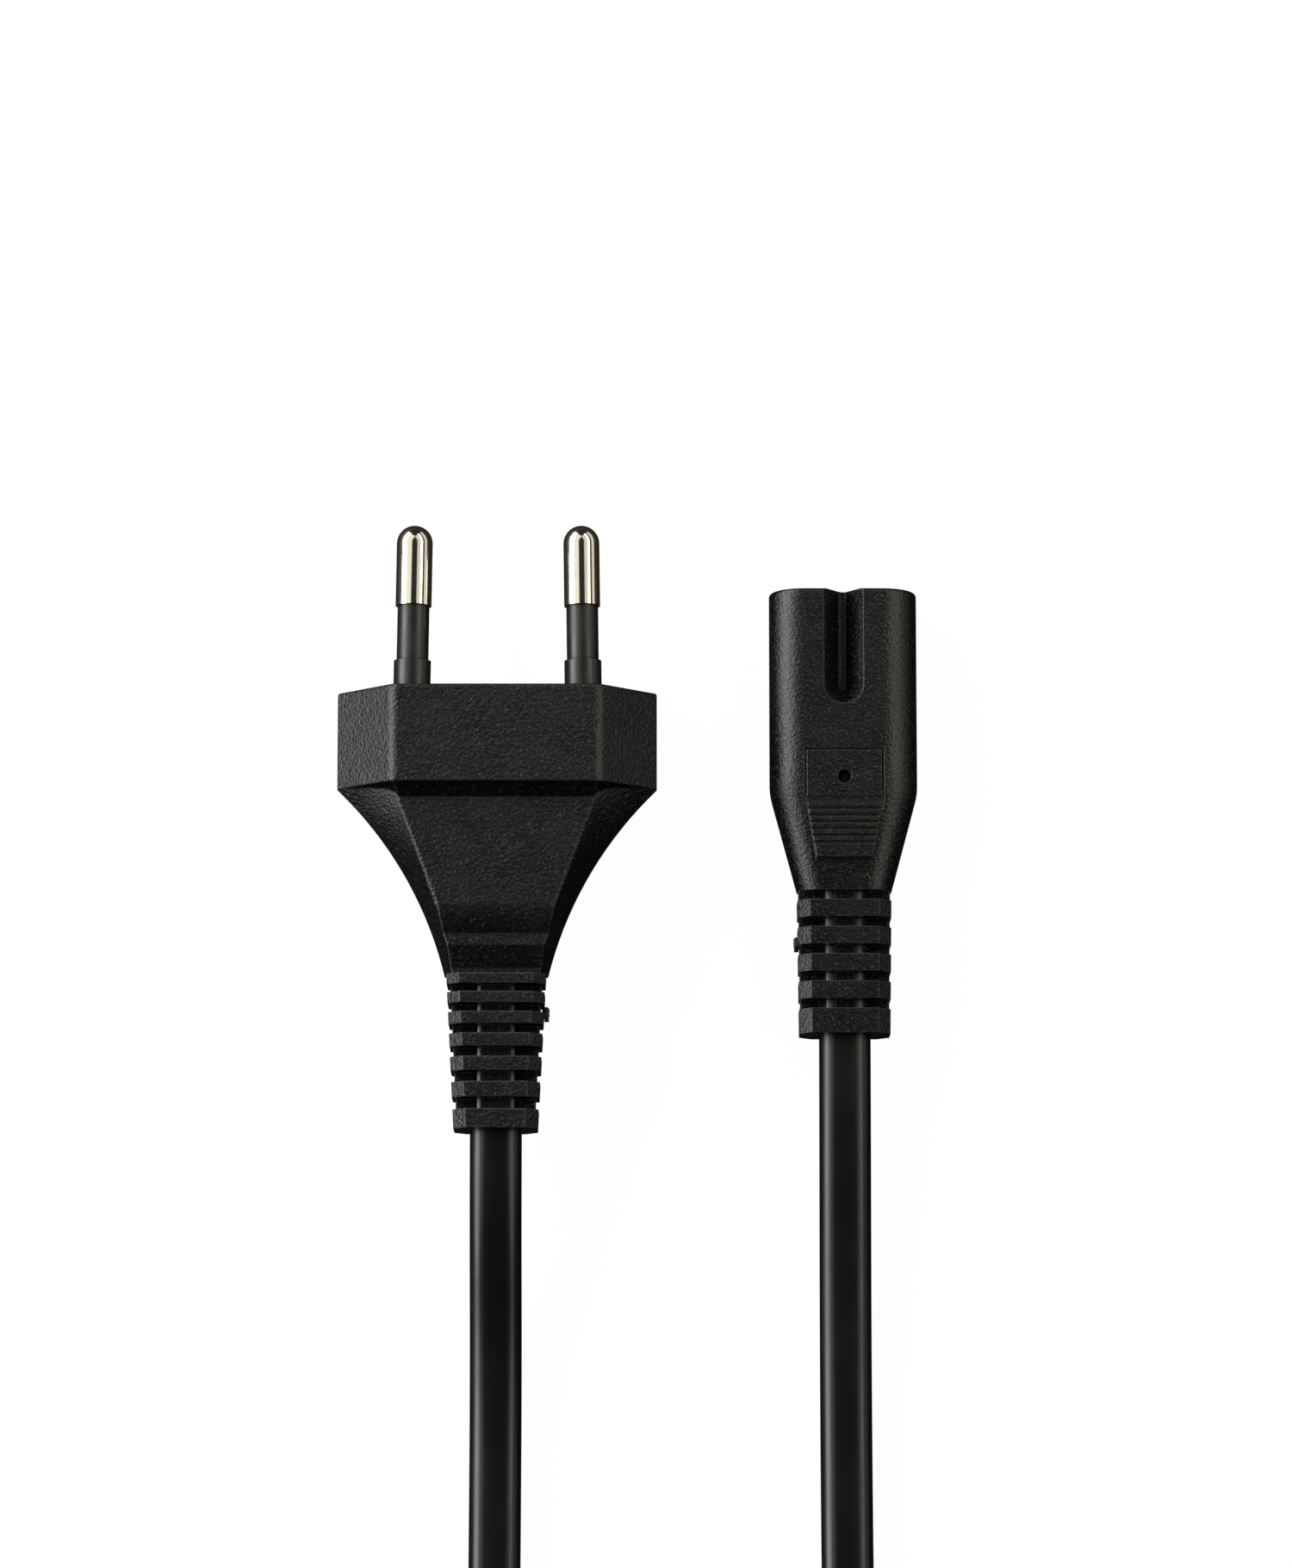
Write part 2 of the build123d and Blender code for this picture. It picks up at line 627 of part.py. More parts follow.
def twist_tie():
    """A coated strip round the ring, its two ends twisted together outside."""
    outside = RectangleRounded(
        COIL_OUTSIDE - COIL_INSIDE + 2 * TIE_STRIP,
        COIL_HEIGHT + TIE_STRIP,
        COIL_EDGE_RADIUS + TIE_STRIP,
    )
    band = extrude(tie_plane(-TIE_WIDTH / 2) * (outside - tie_inside()), amount=TIE_WIDTH)
    twist_place = Plane(
        origin=(COIL_CENTRE[0], COIL_CENTRE[1] - COIL_OUTSIDE - TIE_STRIP / 2, TIE_TWIST_HEIGHT),
        x_dir=(1, 0, 0),
        z_dir=(0, -cos(radians(TIE_TWIST_DROP)), -sin(radians(TIE_TWIST_DROP))),
    )
    return band + extrude(twist_place * Circle(TIE_TWIST_RADIUS), amount=TIE_TWIST_LENGTH)


def pinched(ring):
    """The ring, drawn in by the tie where that goes round it."""
    around = Rectangle(3 * COIL_HEIGHT, 3 * COIL_HEIGHT) - tie_inside()
    return ring - extrude(tie_plane(-TIE_WIDTH / 2) * around, amount=TIE_WIDTH)


def plug_moulding():
    """The whole outside of the plug, as one solid about its own axis."""
    moulding = plug_block() + plug_ledge() + plug_tail()
    moulding += ribbed_relief(
        NECK_END,
        PLUG_RELIEF_END,
        PLUG_RELIEF_WIDTH,
        PLUG_RELIEF_THICKNESS,
        plug_gaps(),
        PLUG_WEB_WIDTH,
        PLUG_SIDE_SINK,
    )
    return moulding + gate_mark(PLUG_RELIEF_WIDTH[0] / 2, PLUG_GATE_AT, 1)


def connector_moulding():
    """The whole outside of the connector, as one solid about its own axis."""
    moulding = connector_shell() + ribbed_relief(
        TAPER_END,
        CONNECTOR_RELIEF_END,
        CONNECTOR_RELIEF_WIDTH,
        CONNECTOR_RELIEF_THICKNESS,
        connector_gaps(),
        CONNECTOR_WEB_WIDTH,
        CONNECTOR_SIDE_SINK,
    )
    moulding += gate_mark(-CONNECTOR_RELIEF_WIDTH[0] / 2, CONNECTOR_GATE_AT, -1)
    groove = key_groove()
    pocket, plateau, hole = grip_pad()
    moulding -= groove + mirror(groove, about=Plane.XY) + pocket
    return moulding + plateau - hole


def cored(moulding, filling):
    """A moulding with the space that its inner pieces take up."""
    for piece in filling:
        moulding -= piece
    return moulding


def plug_pieces():
    """The pieces at the plug's end, by name, and the spaces for its cores."""
    pieces = {}
    spaces = []
    barrel_x = PIN_SPACING / 2 + BARREL[1] * sin(radians(PIN_LEAN))
    for side, colour, place in ((-1, "brown", "left"), (1, "blue", "right")):
        pieces["pin_" + place] = leaning(side, pin_outside() - crimp_bore(margin=1))
        pieces["pin_sleeve_" + place] = pin_sleeve(side)
        path = core_path(
            side * barrel_x, BARREL[1], side * CORE_PITCH / 2, PLUG_SHEATH_START
        )
        core, wire, space = core_and_wire(path, leaning(side, crimp_bore()))
        pieces["core_" + colour + "_plug"] = core
        pieces["strands_" + colour + "_plug"] = wire
        spaces += [space, leaning(side, pin_outside()), pieces["pin_sleeve_" + place]]
    held = [piece for name, piece in pieces.items() if name.startswith("pin")]
    pieces["pin_bridge"] = cored(pin_bridge(), held)
    return pieces, [*spaces, pieces["pin_bridge"]]


def connector_pieces():
    """The pieces at the connector's end, by name, and the spaces that they take up."""
    pieces = {}
    spaces = []
    for side, colour, place in ((-1, "brown", "left"), (1, "blue", "right")):
        x = side * CONTACT_SPACING / 2
        pieces["contact_" + place] = contact(side)
        path = core_path(x, CONTACT_END, side * CORE_PITCH / 2, CONNECTOR_SHEATH_START)
        stripped = Pos(x, 0, 0) * along_y(CONTACT_END - CRIMP_DEPTH, CONTACT_END, WIRE_RADIUS)
        core, wire, space = core_and_wire(path, stripped)
        pieces["core_" + colour + "_connector"] = core
        pieces["strands_" + colour + "_connector"] = wire
        spaces += [space, Pos(x, 0, 0) * contact_space()]
    pieces["contact_carrier"] = contact_carrier()
    return pieces, [pieces["contact_carrier"], *spaces]


def placed(place, pieces):
    """Named pieces, moved to their place on the table."""
    return {name: place * piece for name, piece in pieces.items()}


def build():
    """Makes every piece in its place on the table, by name."""
    plug_place = Pos(PLUG_X, PLUG_FACE_Y, PLUG_Z)
    connector_place = Pos(CONNECTOR_X, CONNECTOR_FRONT_Y, CONNECTOR_Z)
    plug_inside, plug_spaces = plug_pieces()
    connector_inside, connector_spaces = connector_pieces()
    plug_run = cable_run("plug run", PLUG_ROUTE)
    connector_run = cable_run("connector run", CONNECTOR_ROUTE)
    plug = plug_place * cored(plug_moulding(), plug_spaces)
    connector = connector_place * cored(connector_moulding(), connector_spaces)
    ring = coil_ring()
    return {
        "plug_body": plug - plug_run,
        **placed(plug_place, plug_inside),
        "connector_body": connector - connector_run,
        **placed(connector_place, connector_inside),
        "cable_plug_run": plug_run - ring,
        "cable_coil": pinched(ring),
        "cable_connector_run": connector_run - ring,
        "coil_tie": twist_tie(),
    }


os.makedirs("parts", exist_ok=True)
for node, solid in build().items():
    export_step(solid, "parts/" + node + ".step")
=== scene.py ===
"""A black two-wire mains cord on a white table: plug, connector, flat twin cable and coil."""

import json
import logging
import math
from dataclasses import dataclass
from enum import Enum

import bmesh
import bpy
from mathutils import Matrix, Vector

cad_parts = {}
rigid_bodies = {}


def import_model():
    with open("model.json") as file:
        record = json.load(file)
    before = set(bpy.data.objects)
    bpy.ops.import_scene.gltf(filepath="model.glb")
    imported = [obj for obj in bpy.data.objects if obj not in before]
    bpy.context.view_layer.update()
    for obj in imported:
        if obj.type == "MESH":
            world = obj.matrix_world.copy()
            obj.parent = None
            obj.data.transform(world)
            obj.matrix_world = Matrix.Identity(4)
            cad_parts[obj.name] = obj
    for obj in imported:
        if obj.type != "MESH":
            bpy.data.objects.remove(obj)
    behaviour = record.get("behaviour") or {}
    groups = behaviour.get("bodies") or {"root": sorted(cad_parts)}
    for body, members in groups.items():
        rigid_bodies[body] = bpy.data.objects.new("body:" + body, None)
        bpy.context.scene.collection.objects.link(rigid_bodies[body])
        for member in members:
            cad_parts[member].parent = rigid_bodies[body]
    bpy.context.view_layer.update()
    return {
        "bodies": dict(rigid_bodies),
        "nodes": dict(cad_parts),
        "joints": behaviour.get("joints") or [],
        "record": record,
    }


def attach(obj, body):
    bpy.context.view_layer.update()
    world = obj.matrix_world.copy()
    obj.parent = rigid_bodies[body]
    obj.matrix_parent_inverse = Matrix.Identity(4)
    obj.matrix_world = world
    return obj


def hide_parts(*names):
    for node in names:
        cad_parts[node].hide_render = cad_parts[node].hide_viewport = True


MM = 0.001
BODY = "root"
SHARP_ANGLE = math.radians(40)
WELD_MM = 0.01
log = logging.getLogger("power_cord")

# The layout on the table, in millimetres, as the solids have it
PLUG_X = -14.45
PLUG_Z = 6.85
PLUG_FACE_Y = 14.8
CONNECTOR_X = 23.9
CONNECTOR_Z = 3.9
FLOOR_Z = 1.75

# Route on the plug's side, from inside the plug to the coil's lower layer
PLUG_ROUTE = [
    (PLUG_X, -14.2, PLUG_Z),
    (PLUG_X + 0.03, -27.0, PLUG_Z),
    (PLUG_X, -42.0, PLUG_Z),
    (PLUG_X, -60.0, FLOOR_Z),
    (PLUG_X - 0.05, -77.0, FLOOR_Z),
    (PLUG_X - 0.15, -92.0, FLOOR_Z),
    (-20.0, -108.4, 2.3),
    (-24.4, -124.4, 2.85),
]

# Route on the connector's side, from inside the connector to the coil's upper layer
CONNECTOR_ROUTE = [
    (CONNECTOR_X, -6.35, CONNECTOR_Z),
    (CONNECTOR_X + 0.03, -20.0, CONNECTOR_Z),
    (CONNECTOR_X, -34.0, CONNECTOR_Z),
    (CONNECTOR_X, -56.0, FLOOR_Z),
    (CONNECTOR_X + 0.05, -77.0, FLOOR_Z),
    (CONNECTOR_X + 0.2, -92.0, FLOOR_Z),
    (29.5, -108.4, 5.0),
    (33.9, -124.4, 8.4),
]


class Side(Enum):
    """The two poles of each end, by where they lie from above."""

    LEFT = "left"
    RIGHT = "right"


class End(Enum):
    """The two ends of the cord."""

    PLUG = "plug"
    CONNECTOR = "connector"


def linear(colour: str) -> tuple[float, float, float, float]:
    """Turns an sRGB hex colour into the linear values that Blender's sockets take.

    Args:
        colour: Six hex digits after a hash sign.

    Returns:
        Red, green and blue in linear light, with an alpha of one.
    """
    values = [int(colour[i : i + 2], 16) / 255 for i in (1, 3, 5)]
    low, knee = 12.92, 0.04045
    parts = [v / low if v <= knee else ((v + 0.055) / 1.055) ** 2.4 for v in values]
    return (*parts, 1.0)


def add_node(tree: bpy.types.NodeTree, kind: str, links: dict | None = None, **settings) -> bpy.types.Node:
    """Adds one node with its settings, and links its inputs.

    Args:
        tree: The node tree that takes the node.
        kind: The node's type, such as ShaderNodeTexNoise.
        links: Output sockets or plain values, by the input's name or number.
        **settings: Properties of the node itself, such as blend_type.

    Returns:
        The new node.
    """
    node = tree.nodes.new(kind)
    for name, value in settings.items():
        setattr(node, name, value)
    for name, value in (links or {}).items():
        if isinstance(value, bpy.types.NodeSocket):
            tree.links.new(value, node.inputs[name])
        else:
            node.inputs[name].default_value = value
    return node


def new_material(name: str) -> tuple[bpy.types.Material, bpy.types.NodeTree, bpy.types.Node]:
    """Makes an empty material.

    Args:
        name: The material's name.

    Returns:
        The material, its node tree and its output node.
    """
    material = bpy.data.materials.new(name)
    material.use_nodes = True
    tree = material.node_tree
    tree.nodes.clear()
    return material, tree, tree.nodes.new("ShaderNodeOutputMaterial")


@dataclass(frozen=True)
class MouldedPlastic:
    """A plastic part from a mould, whose skin carries the grain of the mould's walls."""

    name: str
    colour: str
    # Light colour painted on the grain tips and along the edges, as painted glints and highlights
    glint_colour: str
    roughness: float
    roughness_spread: float = 0.08
    grain_mm: float = 0.35
    grain_depth_mm: float = 0.012
    waviness_mm: float = 6.0
    waviness_depth_mm: float = 0.02
    specular: float = 0.5
    edge_mm: float = 0.2
    # Reach of the painted shade that dims the shine in hollows
    painted_shade_reach_mm: float = 1.5

    def material(self) -> bpy.types.Material:
        """Builds the material: soft edges, two scales of bump, painted glints on the grain tips, painted
        highlights along the edges, and painted shade that dims the shine in hollows.
        """
        material, tree, output = new_material(self.name)
        place = add_node(tree, "ShaderNodeTexCoord").outputs["Object"]
        grain = add_node(
            tree,
            "ShaderNodeTexNoise",
            {"Vector": place, "Scale": 1 / (self.grain_mm * MM), "Detail": 3.0, "Roughness": 0.55},
        )
        waves = add_node(
            tree,
            "ShaderNodeTexNoise",
            {"Vector": place, "Scale": 1 / (self.waviness_mm * MM), "Detail": 2.0, "Roughness": 0.5},
        )
        # Painted glints: the grain's highest tips take the light glint colour, at half strength
        painted_grain_glints = add_node(
            tree,
            "ShaderNodeMapRange",
            {"Value": grain.outputs["Fac"], "From Min": 0.57, "From Max": 0.7, "To Max": 0.5},
        )
        edge = add_node(tree, "ShaderNodeBevel", {"Radius": self.edge_mm * MM}, samples=4)
        facing = add_node(
            tree,
            "ShaderNodeVectorMath",
            {0: edge.outputs["Normal"], 1: add_node(tree, "ShaderNodeNewGeometry").outputs["Normal"]},
            operation="DOT_PRODUCT",
        )
        # Painted highlight: along edges, where the rounded normal leans away from the face, the glint colour
        # is painted at full strength
        painted_rim_highlight = add_node(
            tree,
            "ShaderNodeMapRange",
            {"Value": facing.outputs["Value"], "From Min": 0.99, "From Max": 0.9},
        )
        painted_glints = add_node(
            tree,
            "ShaderNodeMath",
            {0: painted_grain_glints.outputs["Result"], 1: painted_rim_highlight.outputs["Result"]},
            operation="MAXIMUM",
        )
        colour = add_node(
            tree,
            "ShaderNodeMix",
            {
                "Factor": painted_glints.outputs[0],
                "A": linear(self.colour),
                "B": linear(self.glint_colour),
            },
            data_type="RGBA",
        )
        low = self.roughness - self.roughness_spread
        high = self.roughness + self.roughness_spread
        gloss = add_node(
            tree,
            "ShaderNodeMapRange",
            {"Value": waves.outputs["Fac"], "From Min": 0.3, "From Max": 0.7, "To Min": low, "To Max": high},
        )
        # Painted shade: the shine is dimmed in hollows, near other surfaces
        painted_hollow_shade = add_node(
            tree, "ShaderNodeAmbientOcclusion", {"Distance": self.painted_shade_reach_mm * MM}, samples=4
        )
        shine_under_painted_shade = add_node(
            tree, "ShaderNodeMath", {0: painted_hollow_shade.outputs["AO"], 1: self.specular}, operation="MULTIPLY"
        )
        soft = add_node(
            tree,
            "ShaderNodeBump",
            {
                "Height": waves.outputs["Fac"],
                "Strength": 1.0,
                "Distance": self.waviness_depth_mm * MM,
                "Normal": edge.outputs["Normal"],
            },
        )
        rough = add_node(
            tree,
            "ShaderNodeBump",
            {
                "Height": grain.outputs["Fac"],
                "Strength": 1.0,
                "Distance": self.grain_depth_mm * MM,
                "Normal": soft.outputs["Normal"],
            },
        )
        shader = add_node(
            tree,
            "ShaderNodeBsdfPrincipled",
            {
                "Base Color": colour.outputs["Result"],
                "Roughness": gloss.outputs["Result"],
                "Specular IOR Level": shine_under_painted_shade.outputs[0],
                "Normal": rough.outputs["Normal"],
            },
        )
        tree.links.new(shader.outputs["BSDF"], output.inputs["Surface"])
        return material


@dataclass(frozen=True)
class PlatedMetal:
    """Metal with a bright plated or bare skin, turned or drawn."""

    name: str
    colour: str
    roughness: float
    turning_mm: float = 0.12
    turning_depth_mm: float = 0.0006

    def material(self) -> bpy.types.Material:
        """Builds the material: metal with faint turning marks round the part's Y axis."""
        material, tree, output = new_material(self.name)
        place = add_node(tree, "ShaderNodeTexCoord").outputs["Object"]
        stretched = add_node(
            tree,
            "ShaderNodeMapping",
            {"Vector": place, "Scale": (40.0, 1 / (self.turning_mm * MM), 40.0)},
        )
        marks = add_node(
            tree, "ShaderNodeTexNoise", {"Vector": stretched.outputs["Vector"], "Scale": 1.0, "Detail": 2.0}
        )
        bump = add_node(
            tree,
            "ShaderNodeBump",
            {"Height": marks.outputs["Fac"], "Strength": 1.0, "Distance": self.turning_depth_mm * MM},
        )
        gloss = add_node(
            tree,
            "ShaderNodeMapRange",
            {
                "Value": marks.outputs["Fac"],
                "To Min": self.roughness * 0.7,
                "To Max": self.roughness * 1.3,
            },
        )
        shader = add_node(
            tree,
            "ShaderNodeBsdfPrincipled",
            {
                "Base Color": linear(self.colour),
                "Metallic": 1.0,
                "Roughness": gloss.outputs["Result"],
                "Normal": bump.outputs["Normal"],
            },
        )
        tree.links.new(shader.outputs["BSDF"], output.inputs["Surface"])
        return material


# Soft PVC shot into a spark-eroded mould: matt black, with a grain whose tips catch the light and carry
# painted glints.
# The real grain is about 0.1 mm, too fine to show at this distance, so it is drawn three times
# as coarse, and deep enough to be seen
PLUG_PVC = MouldedPlastic(
    "moulded_pvc_grained_plug", "#050505", "#3b3b3a", roughness=0.3, roughness_spread=0.04,
    grain_mm=0.34, grain_depth_mm=0.13, waviness_mm=4.0, waviness_depth_mm=0.06, specular=0.45,
    edge_mm=0.3, painted_shade_reach_mm=2.2,
)

# The same PVC from a less worn mould: a little darker and finer than the plug, with brighter painted
# glints. Its grain too is drawn coarser than the real 0.1 mm, so that it shows
CONNECTOR_PVC = MouldedPlastic(
    "moulded_pvc_grained_connector", "#040404", "#4b4b49", roughness=0.27, roughness_spread=0.04,
    grain_mm=0.3, grain_depth_mm=0.1, waviness_mm=4.0, waviness_depth_mm=0.05, specular=0.42,
    edge_mm=0.14, painted_shade_reach_mm=2.8,
)

# Flexible PVC drawn through a die: smooth and satin, so the highlights run along it as clean lines.
# Its painted shade in hollows reaches only 0.1 mm, so its shine stays in the strain reliefs' gaps
EXTRUDED_PVC = MouldedPlastic(
    "extruded_pvc_satin", "#07080a", "#090a0c", roughness=0.32, roughness_spread=0.03,
    grain_mm=0.25, grain_depth_mm=0.006, waviness_mm=9.0, waviness_depth_mm=0.03, specular=0.45,
    painted_shade_reach_mm=0.1,
)

# Nylon pushed over the pins: smoother and a little greyer than the plug
SLEEVE_NYLON = MouldedPlastic(
    "moulded_nylon_satin", "#161615", "#1b1b1a", roughness=0.36, grain_mm=0.3, grain_depth_mm=0.006,
)

# Coated paper and plastic strip of the twist tie: black and half glossy over its wire
TIE_STRIP = MouldedPlastic(
    "coated_strip_satin", "#141414", "#1a1a1a", roughness=0.33, grain_mm=0.5, grain_depth_mm=0.01,
)

# Hard thermoplastic of the contact carrier: plain satin black, seen only in the mouth
CARRIER_PLASTIC = MouldedPlastic(
    "moulded_thermoplastic_satin", "#131313", "#181818", roughness=0.38, grain_mm=0.3, grain_depth_mm=0.005,
)

# Brown PVC of the live core: extruded, slightly glossy
CORE_BROWN_PVC = MouldedPlastic(
    "core_pvc_brown", "#6b3d25", "#744229", roughness=0.35, grain_mm=0.3, grain_depth_mm=0.003,
)

# Blue PVC of the neutral core: extruded, slightly glossy
CORE_BLUE_PVC = MouldedPlastic(
    "core_pvc_blue", "#2460b4", "#2968bd", roughness=0.35, grain_mm=0.3, grain_depth_mm=0.003,
)

# Bright nickel plated on turned brass: mirror-like, with a faint warm cast and turning marks
NICKEL_PLATE = PlatedMetal("nickel_plated_brass_turned", "#dedccd", roughness=0.12)

# Phosphor bronze strip, rolled into the contact tubes: warm and softly bright
CONTACT_BRONZE = PlatedMetal("phosphor_bronze_rolled", "#c89a62", roughness=0.28)

# Bare drawn copper of the strands
BARE_COPPER = PlatedMetal("bare_copper_drawn", "#d98a62", roughness=0.3)


def dress(piece: bpy.types.Object, material: bpy.types.Material) -> None:
    """Gives every slot of a piece one material."""
    piece.data.materials.clear()
    piece.data.materials.append(material)


def section_curve(name: str, corners: list[tuple[float, float]]) -> bpy.types.Object:
    """Makes the outline that a bent piece carries along its curve, hidden by itself.

    Args:
        name: The outline's name.
        corners: Its corners in millimetres.

    Returns:
        The holder of the outline.
    """
    curve = bpy.data.curves.new(name, "CURVE")
    curve.dimensions = "2D"
    line = curve.splines.new("POLY")
    line.points.add(len(corners) - 1)
    for point, (x, y) in zip(line.points, corners):
        point.co = (x * MM, y * MM, 0, 1)
    line.use_cyclic_u = True
    holder = bpy.data.objects.new(name, curve)
    bpy.context.scene.collection.objects.link(holder)
    holder.hide_render = True
    holder.hide_viewport = True
    return holder


def bent_piece(
    name: str,
    route: list[tuple[float, float, float]],
    tilts: list[float],
    section: bpy.types.Object,
) -> bpy.types.Object:
    """Bends a section along a smooth open curve, its own Y axis towards up.

    Args:
        name: The piece's name.
        route: The curve's control points in millimetres.
        tilts: The section's turn at each point, in radians.
        section: The holder of the section's outline.

    Returns:
        The piece, as one curve.
    """
    curve = bpy.data.curves.new(name, "CURVE")
    curve.dimensions = "3D"
    curve.twist_mode = "Z_UP"
    curve.resolution_u = 6
    spline = curve.splines.new("NURBS")
    spline.points.add(len(route) - 1)
    for point, place, tilt in zip(spline.points, route, tilts):
        point.co = (*(v * MM for v in place), 1)
        point.tilt = tilt
    spline.order_u = 3
    spline.use_endpoint_u = True
    curve.bevel_mode = "OBJECT"
    curve.bevel_object = section
    curve.use_fill_caps = True
    piece = bpy.data.objects.new(name, curve)
    bpy.context.scene.collection.objects.link(piece)
    return piece


def station(place: Vector, across: Vector, out: Vector) -> Matrix:
    """Works out where a section stands on its way along a swept piece.

    Args:
        place: The section's origin in millimetres.
        across: The direction of its first axis.
        out: The direction of its second axis.

    Returns:
        The matrix that puts the section there, in metres.
    """
    turn = Matrix((across, out.cross(across), out)).transposed().to_4x4()
    return Matrix.Translation(place * MM) @ turn


def swept_piece(
    name: str, stations: list[Matrix], section: list[tuple[float, float]], closed: bool = False
) -> bpy.types.Object:
    """Extrudes a section from station to station.

    Args:
        name: The piece's name.
        stations: Where the section stands, one matrix for each place.
        section: The section's corners in millimetres, across and out.
        closed: Whether the last station stands on the first, so that the ends join.

    Returns:
        The piece, as one mesh.
    """
    shape = bmesh.new()
    first_cap = shape.faces.new([shape.verts.new((x * MM, 0, y * MM)) for x, y in section])
    bmesh.ops.transform(shape, matrix=stations[0], verts=shape.verts)
    cap = first_cap
    for before, after in zip(stations, stations[1:]):
        fresh = bmesh.ops.extrude_face_region(shape, geom=[cap])["geom"]
        cap = next(item for item in fresh if isinstance(item, bmesh.types.BMFace))
        bmesh.ops.transform(shape, matrix=after @ before.inverted(), verts=cap.verts)
    if closed:
        bmesh.ops.delete(shape, geom=[first_cap, cap], context="FACES_ONLY")
        bmesh.ops.remove_doubles(shape, verts=shape.verts, dist=WELD_MM * MM)
    bmesh.ops.recalc_face_normals(shape, faces=shape.faces)
    for face in shape.faces:
        face.smooth = True
    for edge in shape.edges:
        edge.smooth = edge.calc_face_angle(0.0) < SHARP_ANGLE
    mesh = bpy.data.meshes.new(name)
    shape.to_mesh(mesh)
    shape.free()
    piece = bpy.data.objects.new(name, mesh)
    bpy.context.scene.collection.objects.link(piece)
    return piece


@dataclass
class PlugEnd:
    """The plug: its moulding, pins and sleeves, and the bridge between the pins."""

    frame: dict

    def build(self) -> None:
        """Gives the moulding, the pins, their sleeves and the bridge their materials."""
        dress(self.frame["nodes"]["plug_body"], PLUG_PVC.material())
        nickel = NICKEL_PLATE.material()
        nylon = SLEEVE_NYLON.material()
        for side in Side:
            dress(self.frame["nodes"][f"pin_{side.value}"], nickel)
            dress(self.frame["nodes"][f"pin_sleeve_{side.value}"], nylon)
        dress(self.frame["nodes"]["pin_bridge"], CARRIER_PLASTIC.material())
        log.info("plug: moulding, pins, sleeves and bridge dressed")


@dataclass
class ConnectorEnd:
    """The connector: its moulding, contact carrier and contacts."""

    frame: dict

    def build(self) -> None:
        """Gives the moulding, the contact carrier and the contacts their materials."""
        dress(self.frame["nodes"]["connector_body"], CONNECTOR_PVC.material())
        dress(self.frame["nodes"]["contact_carrier"], CARRIER_PLASTIC.material())
        bronze = CONTACT_BRONZE.material()
        for side in Side:
            dress(self.frame["nodes"][f"contact_{side.value}"], bronze)
        log.info("connector: moulding, carrier and contacts dressed")


@dataclass
class Wiring:
    """The two cores and their copper, sealed inside both mouldings."""

    frame: dict

    def build(self) -> None:
        """Dresses the cores in their colours and the strands as copper."""
        brown, blue = CORE_BROWN_PVC.material(), CORE_BLUE_PVC.material()
        copper = BARE_COPPER.material()
        for end in End:
            dress(self.frame["nodes"][f"core_brown_{end.value}"], brown)
            dress(self.frame["nodes"][f"core_blue_{end.value}"], blue)
            for colour in ("brown", "blue"):
                dress(self.frame["nodes"][f"strands_{colour}_{end.value}"], copper)
        log.info("wiring: four cores and their copper dressed")


@dataclass
class TwinCable:
    """The flat twin cable, from inside the plug through the coil to inside the connector.

    Sizes are in millimetres.
    """

    width: float = 5.7
    thickness: float = 3.5
    length: float = 1500.0
    centre: tuple[float, float] = (4.75, -146.0)
    outer_turn: float = 37.6
    inner_turn: float = 24.6
    entry_degrees: float = 172.0
    turns: float = 6.586
    points_a_turn: int = 16
    climb_turns: float = 0.25
    side_steps: int = 10
    crown: float = 0.5
    turn_shares: tuple[float, ...] = (1.0, 0.95, 0.4, 0.05)

    def coil_points(self) -> list[tuple[float, float, float]]:
        """Works out the coil's control points: in along the lower layer, up, and out again.

        Returns:
            The points, in millimetres.
        """
        count = round(self.turns * self.points_a_turn)
        middle = self.turns / 2
        pitch = (self.outer_turn - self.inner_turn) / middle
        outside = 1 / math.cos(math.pi / self.points_a_turn)
        points = []
        for step in range(count + 1):
            turned = self.turns * step / count
            radius = (self.inner_turn + pitch * abs(turned - middle)) * outside
            angle = math.radians(self.entry_degrees) + turned * math.tau
            rise = min(max((turned - middle) / self.climb_turns + 0.5, 0.0), 1.0)
            smooth = rise * rise * (3 - 2 * rise)
            points.append(
                (
                    self.centre[0] + radius * math.cos(angle),
                    self.centre[1] + radius * math.sin(angle),
                    self.width * (0.5 + smooth),
                )
            )
        return points

    def section(self) -> bpy.types.Object:
        """Makes the cable's section: slightly crowned broad sides and half-round narrow ones."""
        radius = self.thickness / 2
        straight = (self.width - self.thickness) / 2
        corners = []
        for end in (1, -1):
            for step in range(self.side_steps + 1):
                angle = end * math.pi / 2 - math.pi * step / self.side_steps
                corners.append((end * straight + radius * math.cos(angle), radius * math.sin(angle)))
        crowned = [(x, y * (1 - self.crown * (x / self.width) ** 2)) for x, y in corners]
        return section_curve("cable_section", crowned)

    def build(self, tie: list[bpy.types.Object]) -> bpy.types.Object:
        """Lays the cable along its whole route.

        Args:
            tie: The pieces of the tie that holds the coil.

        Returns:
            The cable, as one curve.
        """
        coil = self.coil_points()
        route = [*PLUG_ROUTE, *coil, *reversed(CONNECTOR_ROUTE)]
        first, last = len(PLUG_ROUTE), len(PLUG_ROUTE) + len(coil) - 1
        tilts = []
        for number in range(len(route)):
            away = max(first - number, number - last, 0)
            share = self.turn_shares[away] if away < len(self.turn_shares) else 0.0
            tilts.append(math.pi / 2 * share)
        cable = bent_piece("twin_cable", route, tilts, self.section())
        dress(cable, EXTRUDED_PVC.material())
        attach(cable, BODY)
        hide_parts("cable_plug_run", "cable_coil", "cable_connector_run")
        log.info("cable: %d control points, %d of them in the coil", len(route), len(coil))
        return cable


